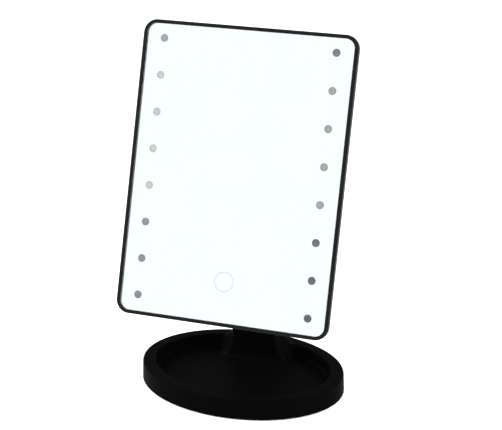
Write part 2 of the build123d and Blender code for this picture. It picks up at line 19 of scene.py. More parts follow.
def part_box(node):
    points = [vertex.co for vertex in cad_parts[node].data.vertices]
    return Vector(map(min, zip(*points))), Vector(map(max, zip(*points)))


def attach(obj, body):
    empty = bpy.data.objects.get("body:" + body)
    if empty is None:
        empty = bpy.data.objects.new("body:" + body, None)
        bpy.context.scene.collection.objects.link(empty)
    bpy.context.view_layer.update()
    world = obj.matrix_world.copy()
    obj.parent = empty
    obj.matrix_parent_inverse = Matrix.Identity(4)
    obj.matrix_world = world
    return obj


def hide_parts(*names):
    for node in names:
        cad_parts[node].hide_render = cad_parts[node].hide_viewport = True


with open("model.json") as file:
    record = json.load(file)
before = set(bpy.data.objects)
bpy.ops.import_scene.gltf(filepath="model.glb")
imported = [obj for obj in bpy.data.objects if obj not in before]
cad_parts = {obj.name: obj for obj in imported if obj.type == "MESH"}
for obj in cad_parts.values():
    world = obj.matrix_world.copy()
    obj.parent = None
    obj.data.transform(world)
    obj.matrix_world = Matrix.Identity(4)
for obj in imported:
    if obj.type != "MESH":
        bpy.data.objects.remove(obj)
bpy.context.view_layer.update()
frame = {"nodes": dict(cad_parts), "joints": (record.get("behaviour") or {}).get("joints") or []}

MM = 0.001
joint = {item["name"]: item for item in frame["joints"]}

# %% [markdown]
# ## The head's own directions
# The head leans back, so its pieces are easier to draw upright and then turned into place. The tilt
# hinge gives the pivot. The battery door slides straight out of the back, so its slide gives the
# direction "behind the head", and from that the lean follows.

# %% Directions of the leaning head
pivot = np.array(joint["head_tilt"]["pos_m"])
behind = np.array(joint["battery_door_off"]["axis"])
lean = math.atan2(-behind[2], behind[1])
up_the_glass = np.array([0.0, math.sin(lean), math.cos(lean)])


def on_head(points):
    """Turn upright head points into place: x stays, y runs behind the head and z up the glass."""
    x, y, z = points[..., 0:1], points[..., 1:2], points[..., 2:3]
    return pivot + x * np.array([1.0, 0.0, 0.0]) + y * behind + z * up_the_glass


def head_reach(node):
    """Lowest and highest upright-head coordinates of a CAD part, from its vertices."""
    points = np.array([vertex.co for vertex in frame["nodes"][node].data.vertices]) - pivot
    local = np.stack([points[:, 0], points @ behind, points @ up_the_glass], axis=1)
    return local.min(0), local.max(0)


print("the head leans back", round(math.degrees(lean), 1), "degrees")

# %% [markdown]
# ## Camera and stage
# A long lens from slightly right of the mirror and well above it keeps the uprights nearly
# parallel. The floor is a plain pale sheet, large enough that the glass finds only bright, empty
# studio to reflect.

# %% Camera
camera_data = bpy.data.cameras.new("camera")
camera = bpy.data.objects.new("camera", camera_data)
bpy.context.scene.collection.objects.link(camera)
bpy.context.scene.camera = camera
camera_azimuth = math.radians(17.722)
camera_elevation = math.radians(22.179)
camera.location = (0.3227, -0.9381, 0.5558)
camera.rotation_euler = (math.pi / 2 - camera_elevation, 0.0, camera_azimuth)
camera_data.lens = 100.04
camera_data.shift_x = -0.0371
camera_data.shift_y = -0.0139
camera_data.clip_end = 50
print("camera:", round(camera_data.lens, 1), "mm lens")

# %% [markdown]
# ## Writing shader maths as formulas
# A material is a graph of nodes, and long graphs are hard to read. Here one small class wraps a
# socket so that `1 - mask * 0.4` adds its Math nodes by itself, and one method makes every other
# kind of node.

# %% Socket arithmetic
class Signal:
    """One output socket of a material, usable in ordinary arithmetic."""

    def __init__(self, finish, socket):
        self.finish = finish
        self.socket = socket

    def maths(self, operation, first, second):
        return self.finish.node("ShaderNodeMath", {"operation": operation}, {0: first, 1: second})

    def __add__(self, other):
        return self.maths("ADD", self, other)

    def __sub__(self, other):
        return self.maths("SUBTRACT", self, other)

    def __rsub__(self, other):
        return self.maths("SUBTRACT", other, self)

    def __mul__(self, other):
        return self.maths("MULTIPLY", self, other)

    def __truediv__(self, other):
        return self.maths("DIVIDE", self, other)

    def __pow__(self, other):
        return self.maths("POWER", self, other)

    def __abs__(self):
        return self.maths("ABSOLUTE", self, 0.0)

    __radd__ = __add__
    __rmul__ = __mul__


# %% Finish builder
class Finish:
    """A material under construction."""

    def __init__(self, name):
        self.material = bpy.data.materials.new(name)
        self.material.use_nodes = True
        self.tree = self.material.node_tree
        self.tree.nodes.clear()
        self.place = self.node("ShaderNodeTexCoord", {}, {}, "Object")

    def node(self, kind, settings, sockets, output=0):
        """Add one node, apply its settings, then fill its input sockets with numbers or signals."""
        made = self.tree.nodes.new(kind)
        for key, value in settings.items():
            setattr(made, key, value)
        for key, value in sockets.items():
            if isinstance(value, Signal):
                self.tree.links.new(value.socket, made.inputs[key])
            else:
                made.inputs[key].default_value = value
        return Signal(self, made.outputs[output])

    def noise(self, size, detail=3.0, stretch=(1.0, 1.0, 1.0)):
        """Soft random pattern whose blotches are about size metres across."""
        settings = {"operation": "MULTIPLY"}
        stretched = self.node("ShaderNodeVectorMath", settings, {0: self.place, 1: stretch})
        sockets = {"Vector": stretched, "Scale": 1 / size, "Detail": detail}
        return self.node("ShaderNodeTexNoise", {}, sockets)

    def within(self, value, low, high):
        """0 below low, 1 above high and smooth between."""
        settings = {"interpolation_type": "SMOOTHSTEP", "clamp": True}
        return self.node("ShaderNodeMapRange", settings, {0: value, 1: low, 2: high})

    def blend(self, factor, first, second):
        """Colour between two colours."""
        settings = {"data_type": "RGBA", "clamp_factor": True}
        return self.node("ShaderNodeMix", settings, {"Factor": factor, 6: first, 7: second}, 2)

    def axes(self):
        """The three coordinates of a point of the piece, each as its own signal."""
        split = self.tree.nodes.new("ShaderNodeSeparateXYZ")
        self.tree.links.new(self.place.socket, split.inputs[0])
        return [Signal(self, output) for output in split.outputs]

    def worn_edges(self, reach):
        """1 along outside edges, from the difference between the true and a rounded-off normal."""
        rounded = self.node("ShaderNodeBevel", {"samples": 4}, {"Radius": reach})
        true = self.node("ShaderNodeNewGeometry", {}, {}, "Normal")
        settings = {"operation": "DOT_PRODUCT"}
        agreement = self.node("ShaderNodeVectorMath", settings, {0: rounded, 1: true}, "Value")
        return self.within(1 - agreement, 0.02, 0.25)

    def bump(self, height, depth, strength=1.0):
        """Relief whose full height is depth metres."""
        return self.node("ShaderNodeBump", {}, {"Height": height, "Distance": depth, "Strength": strength})

    def done(self, shader):
        """Join a shader to the output and hand back the material."""
        target = self.tree.nodes.new("ShaderNodeOutputMaterial")
        self.tree.links.new(shader.socket, target.inputs["Surface"])
        return self.material

    def surface(self, **sockets):
        """Principled shader with its sockets named in plain keyword form."""
        named = {}
        for key, value in sockets.items():
            named[key.replace("_", " ").title().replace("Ior", "IOR")] = value
        return self.node("ShaderNodeBsdfPrincipled", {}, named)


# %% [markdown]
# ## Moulded black plastic
# The base, the neck and the head are injection-moulded black plastic. Up close the tool's
# spark-eroded texture shows as a fine grain, handled edges are polished a little, and large faces
# differ slightly in gloss. A noise of about a third of a millimetre gives the grain as relief, a
# broad noise moves the roughness, and the edges are found by comparing the true normal with a
# rounded one.

# %% Moulded plastic
def moulded_plastic(name, shade, roughness, sheen_level, grain=0.35 * MM):
    finish = Finish(name)
    fine = finish.noise(grain, 2.0)
    broad = finish.noise(22 * MM, 3.0)
    streak = finish.noise(6 * MM, 4.0, (1.0, 1.0, 0.35))
    edge = finish.worn_edges(0.7 * MM)
    dark = (*(channel * 0.82 for channel in shade), 1.0)
    light = (*(channel * 1.22 for channel in shade), 1.0)
    worn = (*(channel * 2.2 for channel in shade), 1.0)
    colour = finish.blend(edge * 0.6, finish.blend(broad * 0.7 + fine * 0.3, dark, light), worn)
    gloss = roughness + (broad - 0.5) * 0.16 + (streak - 0.5) * 0.08 - edge * 0.1
    relief = finish.bump(fine * 0.8 + streak * 0.2, 0.02 * MM, 0.55)
    return finish.done(finish.surface(
        base_color=colour, roughness=gloss, normal=relief, specular_ior_level=sheen_level
    ))


base_black = moulded_plastic("base_black_moulding", (0.0012, 0.0012, 0.00125), 0.50, 0.006)
head_black = moulded_plastic("head_black_moulding", (0.0040, 0.0042, 0.0042), 0.40, 0.085, 0.25 * MM)
knob_grey = moulded_plastic("knob_grey_moulding", (0.055, 0.056, 0.060), 0.45, 0.35, 0.2 * MM)
print("plastics:", base_black.name, head_black.name, knob_grey.name)

# %% [markdown]
# ## Glass and silver
# A mirror is clear glass with a silver coat on its back. The coat does the reflecting, and the
# glass adds a weak second reflection and a faint cool tint. Real refraction would hide what lies
# behind the clearings from the lights, so the pane lets light straight through and reflects 4% of
# it head on, rising to all of it at a grazing angle: 0.04 + 0.96 g^5, where g is 0 face on and 1
# edge on. That is right for a flat sheet, and the same from both sides of its faces.

# %% Glass pane and silver coat
def clear_pane(name):
    finish = Finish(name)
    smear = finish.noise(35 * MM, 5.0, (1.0, 1.0, 0.4))
    grazing = finish.node("ShaderNodeLayerWeight", {}, {"Blend": 0.5}, "Facing")
    fresnel = 0.04 + 0.96 * grazing ** 5.0
    straight = finish.node("ShaderNodeBsdfTransparent", {}, {"Color": (0.985, 0.995, 0.992, 1.0)})
    roughness = 0.01 + finish.within(smear, 0.55, 0.8) * 0.02
    shine = finish.node("ShaderNodeBsdfGlossy", {}, {"Color": (1.0, 1.0, 1.0, 1.0), "Roughness": roughness})
    return finish.done(finish.node("ShaderNodeMixShader", {}, {0: fresnel, 1: straight, 2: shine}))


def silver_coat(name):
    finish = Finish(name)
    haze = finish.noise(40 * MM, 4.0)
    colour = finish.blend(haze, (0.937, 0.955, 0.955, 1.0), (0.965, 0.97, 0.97, 1.0))
    roughness = 0.004 + haze * 0.004
    return finish.done(finish.surface(base_color=colour, roughness=roughness, metallic=1.0))


pane_clear = clear_pane("clear_glass")
silver = silver_coat("silver_coat")
print("mirror:", pane_clear.name, silver.name)

# %% [markdown]
# ## The milky sheet behind the lamp windows
# Each window is a clearing in the silver, and behind it lies a milky strip with the lamp under it.
# With the lamps off, the strip looks grey, a little lighter where the lamp's case shows through, and
# a painted shadow of the coat's edge darkens it round each window. The windows towards the two ends
# of a column look darker than the middle ones, so the sheet has painted shade there. The left sheet
# is painted lighter than the right one, painted light for the stronger light from the left. The
# pattern is worked out from the distance to the nearest lamp along the leaning strip.

# %% Milky sheet
low_lamp, high_lamp = head_reach("lamps_left")
lamp_rows = 8
lamp_column = (head_reach("lamps_right")[0][0] + head_reach("lamps_right")[1][0]) / 2
lamp_half_case = 1.4 * MM
lamp_pitch = (high_lamp[2] - low_lamp[2] - 2 * lamp_half_case) / (lamp_rows - 1)
first_lamp = low_lamp[2] + lamp_half_case


def milky_sheet(name, shade, painted_shade_depth):
    finish = Finish(name)
    x, y, z = finish.axes()
    along = (y - pivot[1]) * up_the_glass[1] + (z - pivot[2]) * up_the_glass[2] - first_lamp
    step = along / lamp_pitch + 0.5
    from_lamp = (finish.node("ShaderNodeMath", {"operation": "FRACT"}, {0: step}) - 0.5) * lamp_pitch
    sideways = abs(x) - lamp_column
    radius = (from_lamp * from_lamp + sideways * sideways) ** 0.5
    case = 1 - finish.within(radius, 0.8 * MM, 1.7 * MM)
    # Painted shadow of the coat's edge: a darker ring round each window.
    rim = finish.within(radius, 2.1 * MM, 3.0 * MM)
    height = along / (lamp_pitch * (lamp_rows - 1))
    # Painted shade: the windows towards both ends of a column are made darker.
    painted_end_shade = finish.within(abs(height - 0.643), 0.26, 0.33) * (0.83 - height * 0.29)
    mottle = finish.noise(1.2 * MM, 3.0)
    # Colour of the painted shade: the sheet's colour scaled down by the last argument.
    deep = tuple(channel * painted_shade_depth for channel in shade)
    colour = finish.blend(case * 0.5, (*shade, 1.0), (*(min(1.0, channel * 1.3) for channel in shade), 1.0))
    colour = finish.blend(rim * 0.16 + painted_end_shade + (mottle - 0.5) * 0.12, colour, (*deep, 1.0))
    relief = finish.bump(mottle, 0.02 * MM)
    return finish.done(finish.surface(
        base_color=colour, roughness=0.55 + mottle * 0.1, normal=relief, specular_ior_level=0.2
    ))


# Painted light and shade: one sheet on both sides, the left painted lighter and the right darker, with
# deeper painted shade at its ends.
sheet_left = milky_sheet("milky_sheet_left_painted_lit", (0.305, 0.315, 0.305), 0.27)
sheet_right = milky_sheet("milky_sheet_right_painted_shaded", (0.193, 0.202, 0.193), 0.04)
print("lamps every", round(lamp_pitch / MM, 2), "mm, columns at", round(lamp_column / MM, 2), "mm")

# %% [markdown]
# ## Metals and small finishes
# Springs and contacts are bright plated steel, and the screws and the hinge are black zinc. Both
# are drawn or stamped, so fine scratches run through the plating. The rest are rubber feet, foam
# tape, nylon washers, printed battery cans, circuit boards and insulated leads.

# %% Plated steel
def plated_steel(name, shade=(0.62, 0.61, 0.59), scratch=(1.0, 1.0, 12.0)):
    finish = Finish(name)
    brush = finish.noise(0.35 * MM, 4.0, scratch)
    tarnish = finish.noise(3 * MM, 3.0)
    edge = finish.worn_edges(0.25 * MM)
    dull = (*(channel * 0.55 for channel in shade), 1.0)
    bright = (*(min(1.0, channel * 1.25) for channel in shade), 1.0)
    colour = finish.blend(finish.within(tarnish, 0.35, 0.7), dull, (*shade, 1.0))
    colour = finish.blend(edge * 0.7, colour, bright)
    gloss = 0.24 + brush * 0.18 - edge * 0.08
    relief = finish.bump(brush, 0.006 * MM)
    return finish.done(finish.surface(base_color=colour, roughness=gloss, metallic=1.0, normal=relief))


# %% Soft and printed finishes
def soft_finish(name, shade, roughness, grain, depth, variation=0.25, coat=0.0):
    """Matte or satin non-metal: grain is the relief's size and variation how far its colour wanders."""
    finish = Finish(name)
    fine = finish.noise(grain, 3.0)
    broad = finish.noise(grain * 14, 2.0)
    dark = (*(channel * (1 - variation) for channel in shade), 1.0)
    light = (*(min(1.0, channel * (1 + variation)) for channel in shade), 1.0)
    colour = finish.blend(broad * 0.6 + fine * 0.4, dark, light)
    gloss = roughness + (fine - 0.5) * 0.15
    relief = finish.bump(fine, depth)
    return finish.done(finish.surface(
        base_color=colour, roughness=gloss, normal=relief, coat_weight=coat, coat_roughness=0.15
    ))


steel = plated_steel("plated_steel")
black_zinc = plated_steel("black_zinc", (0.11, 0.11, 0.115))
rubber = soft_finish("foot_rubber", (0.012, 0.012, 0.012), 0.78, 0.3 * MM, 0.03 * MM)
foam = soft_finish("foam_tape", (0.03, 0.03, 0.03), 0.9, 0.2 * MM, 0.06 * MM)
nylon = soft_finish("natural_nylon", (0.70, 0.67, 0.58), 0.42, 0.4 * MM, 0.008 * MM, 0.06)
chip_case = soft_finish("epoxy_case", (0.015, 0.015, 0.016), 0.6, 0.08 * MM, 0.004 * MM)
lamp_case = soft_finish("lamp_package", (0.85, 0.76, 0.42), 0.35, 0.3 * MM, 0.004 * MM, 0.1)
board_white = soft_finish("white_board", (0.78, 0.78, 0.75), 0.38, 0.5 * MM, 0.004 * MM, 0.05, 0.4)
board_green = soft_finish("green_board", (0.02, 0.16, 0.06), 0.35, 0.5 * MM, 0.006 * MM, 0.3, 0.5)
lead_red = soft_finish("red_insulation", (0.42, 0.012, 0.010), 0.45, 0.3 * MM, 0.004 * MM, 0.15)
lead_black = soft_finish("black_insulation", (0.012, 0.012, 0.012), 0.45, 0.3 * MM, 0.004 * MM, 0.2)
lead_white = soft_finish("white_insulation", (0.72, 0.72, 0.70), 0.45, 0.3 * MM, 0.004 * MM, 0.06)

# %% [markdown]
# ## Battery cans
# A cell is a steel can in a printed sleeve: a long dark part, a coloured band towards the nub and
# bare metal at both ends. The bands follow the cell's own length, so the pattern reads the distance
# up the leaning bay.

# %% Cell sleeve
def cell_sleeve(name, node, nub_up):
    finish = Finish(name)
    _, y, z = finish.axes()
    along = (y - pivot[1]) * up_the_glass[1] + (z - pivot[2]) * up_the_glass[2]
    low, high = head_reach(node)
    share = (along - low[2]) / (high[2] - low[2])
    if not nub_up:
        share = 1 - share
    band = finish.within(share, 0.70, 0.705)
    bare = finish.within(share, 0.955, 0.96) + (1 - finish.within(share, 0.012, 0.016))
    scuff = finish.noise(2.5 * MM, 4.0)
    colour = finish.blend(band, (0.012, 0.03, 0.055, 1.0), (0.50, 0.26, 0.08, 1.0))
    colour = finish.blend(finish.within(scuff, 0.6, 0.85) * 0.3, colour, (0.2, 0.2, 0.2, 1.0))
    colour = finish.blend(bare, colour, (0.62, 0.61, 0.58, 1.0))
    metal = finish.within(bare + band * 0.5, 0.1, 1.0)
    relief = finish.bump(scuff, 0.01 * MM)
    return finish.done(finish.surface(
        base_color=colour, roughness=0.28 + scuff * 0.14, metallic=metal, normal=relief
    ))


# %% [markdown]
# ## Dressing the engineering parts
# Most inner parts keep their exact shape and only need their finish. One table says which finish
# each wears.

# %% Finishes for the frame's own parts
dressing = {
    base_black: ["base_tray", "base_bottom_plate", "neck_front_shell", "neck_rear_shell"],
    head_black: ["front_bezel", "rear_cover", "battery_door", "hinge_bracket", "switch_body"],
    knob_grey: ["switch_knob"],
    rubber: ["rubber_feet"],
    foam: ["glass_gasket"],
    pane_clear: ["mirror_glass"],
    silver: ["mirror_silvering"],
    sheet_left: ["diffuser_left"],
    sheet_right: ["diffuser_right"],
    board_white: ["lamp_board_left", "lamp_board_right"],
    board_green: ["control_board"],
    lamp_case: ["lamps_left", "lamps_right"],
    chip_case: ["control_chips"],
    nylon: ["friction_washers"],
    lead_red: ["lead_battery_red", "lead_switch"],
    lead_black: ["lead_battery_black"],
    lead_white: ["lead_lamps_left", "lead_lamps_right"],
    black_zinc: [
        "base_screws", "neck_shell_screws", "neck_foot_screws", "cover_screws", "bracket_screws",
        "board_screws", "hinge_pin", "hinge_nut", "spring_washer",
    ],
    steel: [
        "contact_bridges", "battery_terminals", "battery_springs", "touch_spring",
    ],
}
for number in range(1, 5):
    node = f"battery_cell_{number}"
    dressing[cell_sleeve(f"cell_sleeve_{number}", node, number % 2 == 1)] = [node]


def dress(thing, material):
    """Give an object one finish all over."""
    thing.data.materials.clear()
    thing.data.materials.append(material)


for material, nodes in dressing.items():
    for node in nodes:
        dress(frame["nodes"][node], material)
print("dressed", sum(len(nodes) for nodes in dressing.values()), "of", len(frame["nodes"]), "parts")

# %% [markdown]
# ## Skins from arrays
# Most new surfaces here are grids of points: one direction runs round a closed outline and the
# other follows a profile. numpy works out all the points at once, and one function turns the grid
# into a closed mesh. A sculpted or swept mesh would do as well, but a formula keeps the exact size.

# %% Grid to mesh
def piece(name, points, faces, body, material, stands_for):
    """Make one piece: doubles merged, faces outwards, smooth except across edges over 40 degrees."""
    mesh = bpy.data.meshes.new(name)
    mesh.from_pydata(points.tolist(), [], faces)
    shape = bmesh.new()
    shape.from_mesh(mesh)
    bmesh.ops.remove_doubles(shape, verts=shape.verts, dist=1e-7)
    bmesh.ops.recalc_face_normals(shape, faces=shape.faces)
    shape.to_mesh(mesh)
    shape.free()
    mesh.shade_smooth()
    mesh.set_sharp_from_angle(angle=math.radians(40))
    thing = bpy.data.objects.new(name, mesh)
    bpy.context.scene.collection.objects.link(thing)
    dress(thing, material)
    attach(thing, body)
    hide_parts(*stands_for)
    print(f"{name}: {len(mesh.polygons)} faces")


# %% Faces of a grid
def grid_faces(rows, columns, start, capped):
    """Squares between neighbouring rows, closed round the outline; capped adds a face over each end row."""
    row, column = np.meshgrid(np.arange(rows - 1), np.arange(columns), indexing="ij")
    after = (column + 1) % columns
    corners = [row * columns + column, row * columns + after]
    corners += [(row + 1) * columns + after, (row + 1) * columns + column]
    faces = (np.stack(corners, axis=-1).reshape(-1, 4) + start).tolist()
    if capped:
        faces.append((np.arange(columns)[::-1] + start).tolist())
        faces.append((np.arange(columns) + (rows - 1) * columns + start).tolist())
    return faces


def skin(name, shells, body, material, stands_for):
    """Join grids of points into one piece. A grid whose last row repeats its first is a closed tube."""
    faces = []
    start = 0
    for grid in shells:
        rows, columns = grid.shape[:2]
        faces += grid_faces(rows, columns, start, not np.allclose(grid[0], grid[-1]))
        start += rows * columns
    points = np.concatenate([grid.reshape(-1, 3) for grid in shells])
    piece(name, points, faces, body, material, stands_for)


# %% Rounded profile
def rounded_profile(corners, steps=8):
    """Polyline through (a, b, radius) corners, with each inner corner turned into an arc of its radius."""
    line = []
    for index, (a, b, radius) in enumerate(corners):
        here = np.array([a, b])
        if radius == 0 or index in (0, len(corners) - 1):
            line.append(here[None])
            continue
        back = np.array(corners[index - 1][:2]) - here
        ahead = np.array(corners[index + 1][:2]) - here
        back /= np.linalg.norm(back)
        ahead /= np.linalg.norm(ahead)
        half = math.acos(np.clip(back @ ahead, -1, 1)) / 2
        centre = here + (back + ahead) / np.linalg.norm(back + ahead) * radius / math.sin(half)
        first = here + back * radius / math.tan(half) - centre
        last = here + ahead * radius / math.tan(half) - centre
        share = np.linspace(0, 1, steps + 1)[:, None]
        sweep = math.pi - 2 * half
        arc = np.sin((1 - share) * sweep) * first + np.sin(share * sweep) * last
        line.append(centre + arc / math.sin(sweep))
    return np.concatenate(line)


# %% Rounded outline
def rounded_outline(half_width, half_height, radius, corner_steps=14):
    """Corner centres and outward directions of a rounded rectangle.

    A point of the outline is its centre plus the radius times its direction.
    """
    centres = []
    directions = []
    for quarter, (sign_x, sign_z) in enumerate(((1, 1), (-1, 1), (-1, -1), (1, -1))):
        turn = np.linspace(0, math.pi / 2, corner_steps + 1) + quarter * math.pi / 2
        corner = [sign_x * (half_width - radius), sign_z * (half_height - radius)]
        centres.append(np.tile(corner, (len(turn), 1)))
        directions.append(np.stack([np.cos(turn), np.sin(turn)], axis=1))
    return np.concatenate(centres), np.concatenate(directions)


# %% [markdown]
# ## The front frame
# The frame is one moulding: a slim rim round the edge of the glass, and behind it a ledge that the
# glass is taped to from the front. Its section is the same all the way round, so it is a profile
# carried along a rounded rectangle. The rim is a little narrower across the top and bottom than
# down the sides, so each row of the profile has its own inset along the ends and its own corner
# radius.

# %% Front frame
bezel_low, bezel_high = head_reach("front_bezel")
pane_low, pane_high = head_reach("mirror_glass")
coat_low, coat_high = head_reach("mirror_silvering")
tape_back = head_reach("glass_gasket")[1][1]
half_width = bezel_high[0]
half_height = bezel_high[2]
head_front = bezel_low[1]
ledge_front = tape_back
ledge_back = ledge_front + 1.6 * MM
rim_back = ledge_front + 2.3 * MM
pane_gap = 0.1 * MM
rim_inset = half_width - pane_high[0] - pane_gap
rim_end_inset = half_height - pane_high[2] - pane_gap
ledge_inset = 8.6 * MM
ledge_end_inset = 6.6 * MM
outer_corner = 10.5 * MM
ledge_corner = 3.0 * MM
inset_marks = [0.0, rim_inset, ledge_inset]
end_inset_marks = [0.0, rim_end_inset, ledge_end_inset]
corner_marks = [outer_corner, outer_corner - rim_inset, ledge_corner]


# %% Frame rings
def frame_ring(profile):
    """Row of points for each (inset, depth): the rounded outline drawn in by the inset, at that depth."""
    rows = []
    for inset, depth in profile:
        radius = np.interp(inset, inset_marks, corner_marks)
        end_inset = np.interp(inset, inset_marks, end_inset_marks)
        centres, directions = rounded_outline(half_width - inset, half_height - end_inset, radius)
        flat = centres + directions * radius
        rows.append(np.column_stack([flat[:, 0], np.full(len(flat), depth), flat[:, 1]]))
    return on_head(np.array(rows))


def closed_profile(profile):
    """Repeat the first row at the end, so that the section closes on itself."""
    return np.concatenate([profile, profile[:1]])


frame_corners = [
    (1.0 * MM, rim_back, 0), (0.0, rim_back, 0.15 * MM), (0.0, head_front, 0.9 * MM),
    (rim_inset, head_front, 0.35 * MM), (rim_inset, ledge_front, 0.05 * MM),
    (ledge_inset, ledge_front, 0.1 * MM), (ledge_inset, ledge_back, 0.1 * MM),
    (rim_inset, ledge_back, 0.1 * MM), (rim_inset, rim_back, 0.1 * MM), (1.1 * MM, rim_back, 0),
]


# %% Screw posts
def turned_on_head(x, z, profile, columns=32):
    """Rings of (radius, depth) round an axis that runs from the front of the head to its back."""
    angle = np.linspace(0, 2 * math.pi, columns, endpoint=False)
    radius = profile[:, 0:1]
    depth = np.broadcast_to(profile[:, 1:2], (len(profile), columns))
    return on_head(np.stack([x + radius * np.cos(angle), depth, z + radius * np.sin(angle)], axis=-1))


post_radius = 3.0 * MM
post_bore = 1.25 * MM
post_column = 77.5 * MM
post_row = 96 * MM
post_root = ledge_back - 0.2 * MM
post_end = bezel_high[1]
post_profile = closed_profile(rounded_profile([
    (2.0 * MM, post_root, 0), (post_radius, post_root, 0.1 * MM), (post_radius, post_end, 0.3 * MM),
    (post_bore, post_end, 0.2 * MM), (post_bore, post_root, 0.1 * MM), (1.9 * MM, post_root, 0),
], 4))
screw_posts = [
    turned_on_head(x, z, post_profile)
    for x in (-post_column, post_column) for z in (-post_row, 0.0, post_row)
]

# %% Frame piece
frame_section = closed_profile(rounded_profile(frame_corners, 6))
skin(
    "frame_moulding", [frame_ring(frame_section), *screw_posts],
    "head", head_black, ["front_bezel"],
)

# %% [markdown]
# ## Flat plates with clearings
# The pane and its silver coat are thin plates. The coat has sixteen round clearings for the lamps
# and one thin ring for the touch key. A plate is drawn as closed outlines on its face, the face
# between them is divided into triangles, and the same triangles serve the front and the back, with
# a wall along every outline.

# %% Plates
def circle(x, z, radius, columns=56):
    """Points x + r cos t, z + r sin t."""
    angle = np.linspace(0, 2 * math.pi, columns, endpoint=False)
    return np.column_stack([x + radius * np.cos(angle), z + radius * np.sin(angle)])


def plate(outlines, front, back, is_solid):
    """Points and faces of a plate between two depths, kept wherever is_solid(x, z) holds."""
    flat = np.concatenate(outlines)
    lengths = [len(outline) for outline in outlines]
    starts = np.cumsum([0, *lengths])
    edges = []
    for start, length in zip(starts, lengths):
        index = np.arange(length)
        edges += np.column_stack([index + start, (index + 1) % length + start]).tolist()
    divided = delaunay_2d_cdt([Vector(point) for point in flat.tolist()], edges, [], 0, 1e-8)
    triangles = np.array(divided[2])
    centre = np.array([tuple(point) for point in divided[0]])[triangles].mean(1)
    triangles = triangles[is_solid(centre[:, 0], centre[:, 1])]
    assert len(divided[0]) == len(flat)
    flat = np.array([tuple(point) for point in divided[0]])
    count = len(flat)
    layers = [np.column_stack([flat[:, 0], np.full(count, depth), flat[:, 1]]) for depth in (front, back)]
    edges = np.array(edges)
    walls = np.column_stack([edges, edges[:, ::-1] + count])
    faces = triangles.tolist() + (triangles[:, ::-1] + count).tolist() + walls.tolist()
    return on_head(np.concatenate(layers)), faces


# %% [markdown]
# ## The glass pane
# The pane is a sheet with a tiny ground edge. It has no clearings, so it is again a profile round
# the rounded rectangle, closed by one flat face in front and one behind. Its back stops a hair
# short of the silver, because two faces at the same depth would hide each other at random.

# %% Pane
pane_inset = half_width - pane_high[0]
ground = 0.1 * MM
pane_back = pane_high[1] - 0.03 * MM
pane_section = [
    (pane_inset + ground, pane_low[1]), (pane_inset, pane_low[1] + ground),
    (pane_inset, pane_back - ground), (pane_inset + ground, pane_back),
]
skin("glass_pane", [frame_ring(pane_section)], "head", pane_clear, ["mirror_glass"])

# %% [markdown]
# ## The silver coat
# The coat stops just short of the edge of the glass. The windows sit on the lamps' own grid, and
# the ring is centred on the spring of the touch key behind it.

# %% Silver coat
coat_margin = 0.05 * MM
coat_inset = pane_inset + coat_margin
spring_low, spring_high = head_reach("touch_spring")
ring_height = (spring_low[2] + spring_high[2]) / 2
ring_radius = 7.4 * MM
ring_line = 0.18 * MM
window_radius = 3.0 * MM
window_places = [
    (side * lamp_column, first_lamp + row * lamp_pitch) for side in (-1, 1) for row in range(lamp_rows)
]


def coat_is_solid(x, z):
    """True outside every window and off the line of the ring."""
    from_window = np.min([np.hypot(x - place[0], z - place[1]) for place in window_places], axis=0)
    from_ring = np.abs(np.hypot(x, z - ring_height) - ring_radius)
    return (from_window > window_radius) & (from_ring > 0.49 * ring_line)


# %% Coat outlines
coat_radius = np.interp(coat_inset, inset_marks, corner_marks)
coat_end_inset = np.interp(coat_inset, inset_marks, end_inset_marks)
centres, directions = rounded_outline(half_width - coat_inset, half_height - coat_end_inset, coat_radius)
coat_outlines = [centres + directions * coat_radius]
coat_outlines += [circle(x, z, window_radius) for x, z in window_places]
coat_outlines += [circle(0.0, ring_height, ring_radius + side * ring_line / 2, 120) for side in (1, -1)]
print("clearings in the coat:", len(window_places), "windows and one ring")
coat_points, coat_faces = plate(coat_outlines, coat_low[1], coat_high[1], coat_is_solid)
piece("silver_sheet", coat_points, coat_faces, "head", silver, ["mirror_silvering"])

# %% [markdown]
# ## The tray and its pedestal
# The base is one moulding: an oval rim round a shallow tray, with a pedestal rising smoothly at the
# back. The tray is a height above each point of an oval grid. That height comes from one number,
# how far the point is inside the hollow, and a smooth minimum of two distances, to the oval and to
# the pedestal's foot, gives the wide sweeps that join them.

# %% Tray dimensions
tray_low, tray_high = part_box("base_tray")
tray_half_length = tray_high.x
tray_half_depth = tray_high.y
tray_bottom = tray_low.z
draft = 0.6 * MM
rim_top = 16.8 * MM
tray_floor = 6.8 * MM
rim_width = 10.4 * MM
neck_top = tray_high.z
inner_length = tray_half_length - draft - rim_width
inner_depth = tray_half_depth - draft - rim_width
neck_half_width = 18.5 * MM
neck_front = 26.5 * MM
neck_back = 46.5 * MM
neck_corner = 4.0 * MM

wall_lean = math.tan(math.radians(9))
tray_depth = rim_top - tray_floor
print("tray hollow:", round(tray_depth / MM, 1), "mm deep")
pedestal_foot = 5 * MM
sweep_reach = 22 * MM
sweep_start = 26 * MM
sweep_spread = 1.2
wall_section = rounded_profile([
    (-6 * MM, rim_top, 0), (0, rim_top, 1.5 * MM), (tray_depth * wall_lean, tray_floor, 3.2 * MM),
    (12 * MM, tray_floor, 0),
], 12)


# %% Tray height
def smooth_minimum(first, second, reach):
    """Smaller of two distances, rounded off where they are within reach of each other."""
    overlap = np.maximum(reach - np.abs(first - second), 0)
    return np.minimum(first, second) - overlap ** 2 / (4 * reach)


